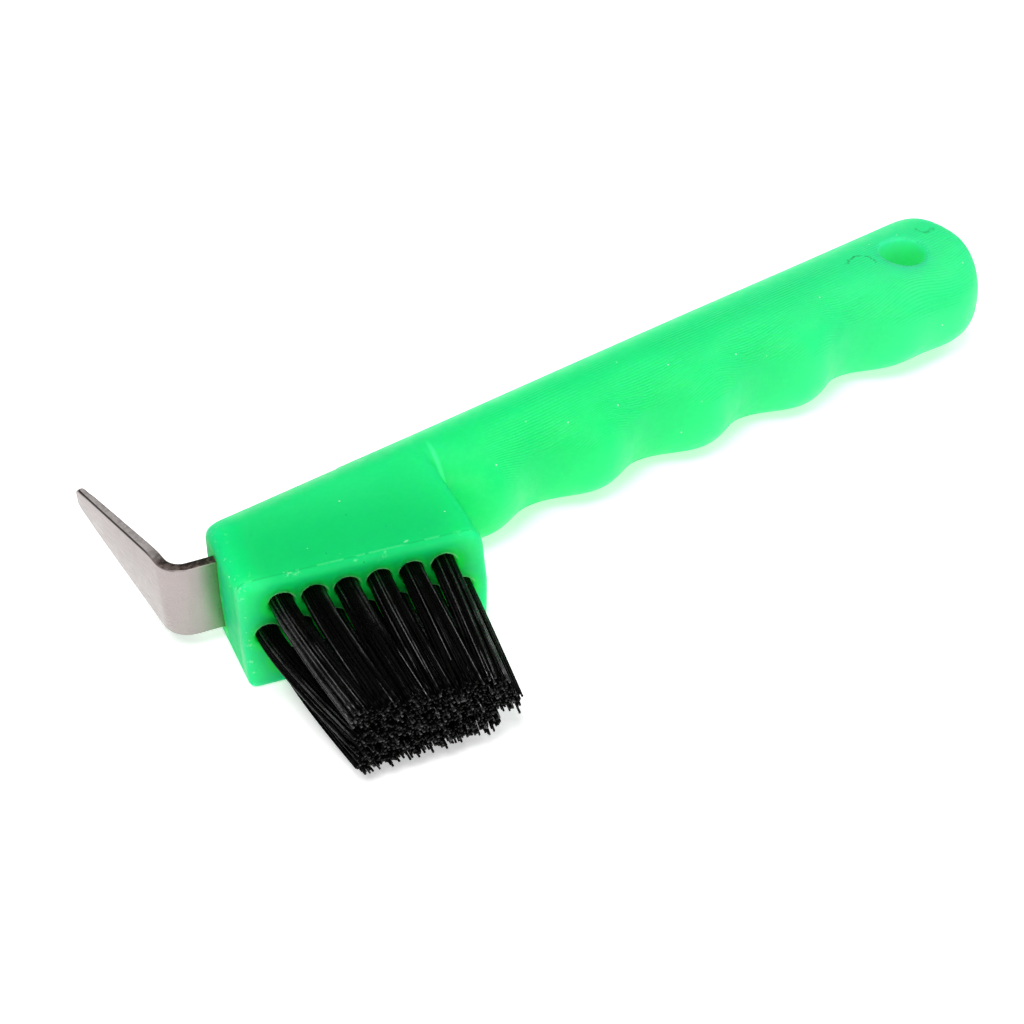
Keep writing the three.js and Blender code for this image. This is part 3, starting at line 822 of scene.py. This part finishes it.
def plastic_material():
    """Green translucent plastic, darker and deeper in the head by painted shade, and showing its milled
    lines.
    """
    look = Look("green_plastic")
    along = measured(look, ALONG)
    out = measured(look, OUTWARD)
    lines = milled_lines(look)
    thick, brush_face_shade = head_zones(look, along, out)
    rim_light = hole_rim_light(look, along, out)
    base = plastic_color(look, along, out, thick, brush_face_shade, rim_light)
    base = plastic_marks(look, base, along, out)
    # painted shade and light of the milled lines' ridges, on top of their bump
    base = look.blend(look.step(lines, 0.0, 1.0, 0.0, 0.16), base, PLASTIC["milled_shade"])
    base = look.blend(look.step(lines, 0.0, -1.0, 0.0, 0.12), base, PLASTIC["milled_light"])
    look.set("Base Color", base)
    look.set("Roughness", look.step(look.noise(2.5, 4), 0.25, 0.75, 0.38, 0.54))
    shallow = look.math("MAXIMUM", rim_light, look.times(near_slot(look, along, out, 1.6), 0.75))
    shallow = look.math("MAXIMUM", shallow, look.times(near_holes(look, along, out), 0.35))
    look.set("Subsurface Weight", look.step(shallow, 0.0, 1.0, 1.0, 0.15))
    look.set("Subsurface Radius", SCATTER_BY_COLOR)
    look.set("Subsurface Scale", SCATTER_REACH * MM)
    dull = look.math("MAXIMUM", look.times(thick, 0.55), look.times(brush_face_shade, 0.9))
    front_end = look.times(look.step(along, 7, 2), look.step(out, -1, -3))
    dull = look.math("MAXIMUM", dull, look.times(front_end, 0.8))
    look.set("Specular IOR Level", look.step(dull, 0.0, 1.0, 0.2, 0.02))
    normal = look.bump(lines, 0.04, 0.8)
    seam = look.band(look.z, MID, 0.16)
    normal = look.bump(seam, 0.03, 0.5, normal)
    normal = look.bump(look.noise(0.55, 3), 0.05, 0.35, normal)
    normal = look.bump(look.noise(6, 2), 0.4, 0.2, normal)
    look.set("Normal", normal)
    return look.material


NYLON = (0.0008, 0.0008, 0.0007)
CUT_NYLON = (0.018, 0.018, 0.0175)   # the filaments' cut ends


def nylon_material(name, color, roughness):
    """Black nylon; the strand attribute picks the filaments that catch more light."""
    look = Look(name)
    strand = look.node("Attribute", attribute_name="strand").outputs["Fac"]
    patch = look.step(look.noise(5, 2), 0.35, 0.65, -0.06, 0.06)
    bright = look.step(look.add(strand, patch), 0.62, 1.0)
    # painted sheen: the strands that catch more light also get a paler base colour
    pale = tuple(3 * c for c in color)
    look.set("Base Color", look.blend(bright, (*color, 1), (*pale, 1)))
    look.set("Roughness", look.step(look.noise(0.8, 3), 0.3, 0.7, roughness - 0.06, roughness + 0.08))
    look.set("Specular IOR Level", look.step(bright, 0.0, 1.0, 0.03, 0.7))
    look.set("Normal", look.bump(look.noise(0.8, 2), 0.02, 0.3))
    return look.material


STEEL = {
    "satin": (0.355, 0.31, 0.304, 1),         # the flats, and how they cloud
    "satin_cloud": (0.4, 0.35, 0.344, 1),
    "brushed": (0.33, 0.295, 0.29, 1),
    "pits": (0.2, 0.17, 0.16, 1),
    # painted reflection: green light from the plastic on the steel near it
    "plastic_reflection": (0.1, 0.25, 0.09, 1),
    "pick": (0.25, 0.22, 0.215, 1),
    "torn": (0.025, 0.018, 0.016, 1),         # the sheared edge of the strip
    "torn_bright": (0.15, 0.115, 0.1, 1),
    "cut": (0.66, 0.6, 0.59, 1),              # the sheared edge of the pick
    "cut_bright": (0.84, 0.78, 0.77, 1),
    "burr": (0.1, 0.08, 0.07, 1),
    "groove": (0.03, 0.022, 0.02, 1),
}


def steel_material():
    """Satin flats with sheared edges, torn and dark on the strip, bright on the pick."""
    look = Look("satin_steel")
    up = look.node("SeparateXYZ", {0: look.node("NewGeometry").outputs["Normal"]}).outputs[2]
    up = look.math("ABSOLUTE", up)
    sheared = look.step(up, 0.75, 0.95)
    burr = look.times(look.step(up, 0.12, 0.35), look.step(up, 0.98, 0.85))
    on_pick = look.step(look.y, -7, -1)
    cloud = look.noise(3.5, 4)
    brushed = look.noise(0.22, 4, look.stretched((1.0, 0.1, 1.0)))
    base = look.blend(cloud, STEEL["satin"], STEEL["satin_cloud"])
    base = look.blend(look.step(brushed, 0.3, 0.75, 0.0, 0.3), base, STEEL["brushed"])
    base = look.blend(look.times(look.specks(2.6, 0.14, 0.25), 0.6), base, STEEL["pits"])
    # painted reflection of the green plastic on the steel near it
    plastic_reflection = look.step(look.x, -1.8, 2.2, 0.0, 0.8)
    base = look.blend(plastic_reflection, base, STEEL["plastic_reflection"])
    base = look.blend(look.times(on_pick, 0.25), base, STEEL["pick"])
    torn = look.step(look.noise(0.9, 4), 0.35, 0.62)
    edge = look.blend(torn, STEEL["torn"], STEEL["torn_bright"])
    edge = look.blend(on_pick, edge, look.blend(torn, STEEL["cut"], STEEL["cut_bright"]))
    base = look.blend(look.times(sheared, 0.95), base, edge)
    base = look.blend(look.times(burr, look.step(on_pick, 0, 1, 0.2, 0.85)), base, STEEL["burr"])
    share = look.times(look.add(look.y, MID), 1 / (PICK_TIP + MID))
    half = look.add(BLADE_THICKNESS[0] / 2, look.times(share, (BLADE_THICKNESS[1] - BLADE_THICKNESS[0]) / 2))
    from_face = look.add(look.math("SUBTRACT", look.x, PICK_MIDDLE), half)
    groove = look.times(look.band(from_face, 0.2, 0.17), look.times(on_pick, look.step(up, 0.2, 0.4)))
    base = look.blend(look.times(groove, 0.9), base, STEEL["groove"])
    look.set("Base Color", base)
    look.set("Metallic", 1.0)
    look.set("Roughness", look.step(look.add(brushed, look.times(sheared, 0.5)), 0.3, 1.0, 0.27, 0.5))
    normal = look.bump(brushed, 0.02, 0.35)
    normal = look.bump(cloud, 0.1, 0.2, normal)
    look.set("Normal", normal)
    return look.material


WIRE = ((0.42, 0.3, 0.12, 1), (0.58, 0.44, 0.2, 1))   # dull and bright brass


def wire_material():
    look = Look("staple_wire")
    look.set("Base Color", look.blend(look.noise(0.6, 3), *WIRE))
    look.set("Metallic", 1.0)
    look.set("Roughness", look.step(look.noise(0.3, 3), 0.3, 0.7, 0.3, 0.5))
    look.set("Normal", look.bump(look.noise(0.2, 2), 0.02, 0.4))
    return look.material


# ---------------------------------------------------------------- studio


FLOOR_GLOW = 0.4         # the object lies on a light table
FLOOR_SPAN = 1500.0      # half the floor's side, in millimetres
WORLD_STRENGTH = 0.13
SOFTBOXES = {            # azimuth and elevation in degrees, disc size in metres, power in watts
    "key_softbox": (-55, 64, 0.9, 23.5),
    "fill_softbox": (75, 50, 1.0, 11.0),
    "front_softbox": (-5, 24, 0.8, 12.0),
    "back_softbox": (-165, 66, 0.8, 12.5),
}
SOFTBOX_DISTANCE = 2.0   # metres from the middle of the part


def direction(azimuth, elevation):
    """The unit vector from the part toward a lamp or camera; azimuth 0 looks at its finger side."""
    a, e = math.radians(azimuth), math.radians(elevation)
    return Vector((math.sin(a) * math.cos(e), -math.cos(a) * math.cos(e), math.sin(e)))


def make_floor():
    look = Look("studio_floor")
    look.set("Base Color", look.blend(look.noise(20, 3), (0.92, 0.92, 0.92, 1), (0.94, 0.94, 0.94, 1)))
    look.set("Roughness", 0.9)
    look.set("Emission Color", (1, 1, 1, 1))
    look.set("Emission Strength", FLOOR_GLOW)
    points = [(-FLOOR_SPAN, -FLOOR_SPAN, 0), (FLOOR_SPAN, -FLOOR_SPAN, 0)]
    points += [(FLOOR_SPAN, FLOOR_SPAN, 0), (-FLOOR_SPAN, FLOOR_SPAN, 0)]
    floor = make_piece("floor", points, [(0, 1, 2, 3)], [look.material], smooth=False)


def make_softbox(name, azimuth, elevation, size, power):
    light = bpy.data.lights.new(name, "AREA")
    light.shape = "DISK"
    light.size = size
    light.energy = power
    lamp = bpy.data.objects.new(name, light)
    bpy.context.scene.collection.objects.link(lamp)
    back = direction(azimuth, elevation)
    lamp.location = (cad_low + cad_high) / 2 + SOFTBOX_DISTANCE * back
    lamp.rotation_mode = "QUATERNION"
    lamp.rotation_quaternion = (-back).to_track_quat("-Z", "Y")


def make_studio():
    scene = bpy.context.scene
    scene.view_settings.view_transform = "Standard"
    world = bpy.data.worlds.new("studio")
    scene.world = world
    world.use_nodes = True
    background = world.node_tree.nodes["Background"]
    background.inputs["Color"].default_value = (1, 1, 1, 1)
    background.inputs["Strength"].default_value = WORLD_STRENGTH
    for name, settings in SOFTBOXES.items():
        make_softbox(name, *settings)


CAMERA_AZIMUTH = -35.29   # degrees, fitted to the photo with the roll, distance, aim and lens
CAMERA_ELEVATION = 40.11
CAMERA_ROLL = 0.85
CAMERA_DISTANCE = 335.2   # millimetres
CAMERA_AIM = (51.8, -22.8, MID)
CAMERA_LENS = 70.2


def make_camera():
    data = bpy.data.cameras.new("camera")
    data.lens = CAMERA_LENS
    data.sensor_width = 36
    data.clip_start = 0.01
    camera = bpy.data.objects.new("camera", data)
    bpy.context.scene.collection.objects.link(camera)
    back = direction(CAMERA_AZIMUTH, CAMERA_ELEVATION)
    aim = Vector(to_frame(CAMERA_AIM))
    turn = (-back).to_track_quat("-Z", "Y").to_matrix().to_4x4()
    roll = Matrix.Rotation(math.radians(-CAMERA_ROLL), 4, "Z")
    camera.matrix_world = Matrix.Translation(aim + CAMERA_DISTANCE * MM * back) @ turn @ roll
    bpy.context.scene.camera = camera


# ---------------------------------------------------------------- scene

make_studio()
make_camera()
make_floor()
make_handle(plastic_material())
make_blade(steel_material())
nylon = [nylon_material("black_nylon", NYLON, 0.24), nylon_material("cut_nylon", CUT_NYLON, 0.6)]
rng = np.random.default_rng(19)
wire = wire_material()
for tuft_name, tuft_step, tuft_side, tuft_tip in tuft_places():
    make_tuft(tuft_name, tuft_step, tuft_side, tuft_tip, nylon, rng)
    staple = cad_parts[f"staple_{tuft_name}"]
    staple.data.materials.clear()
    staple.data.materials.append(wire)
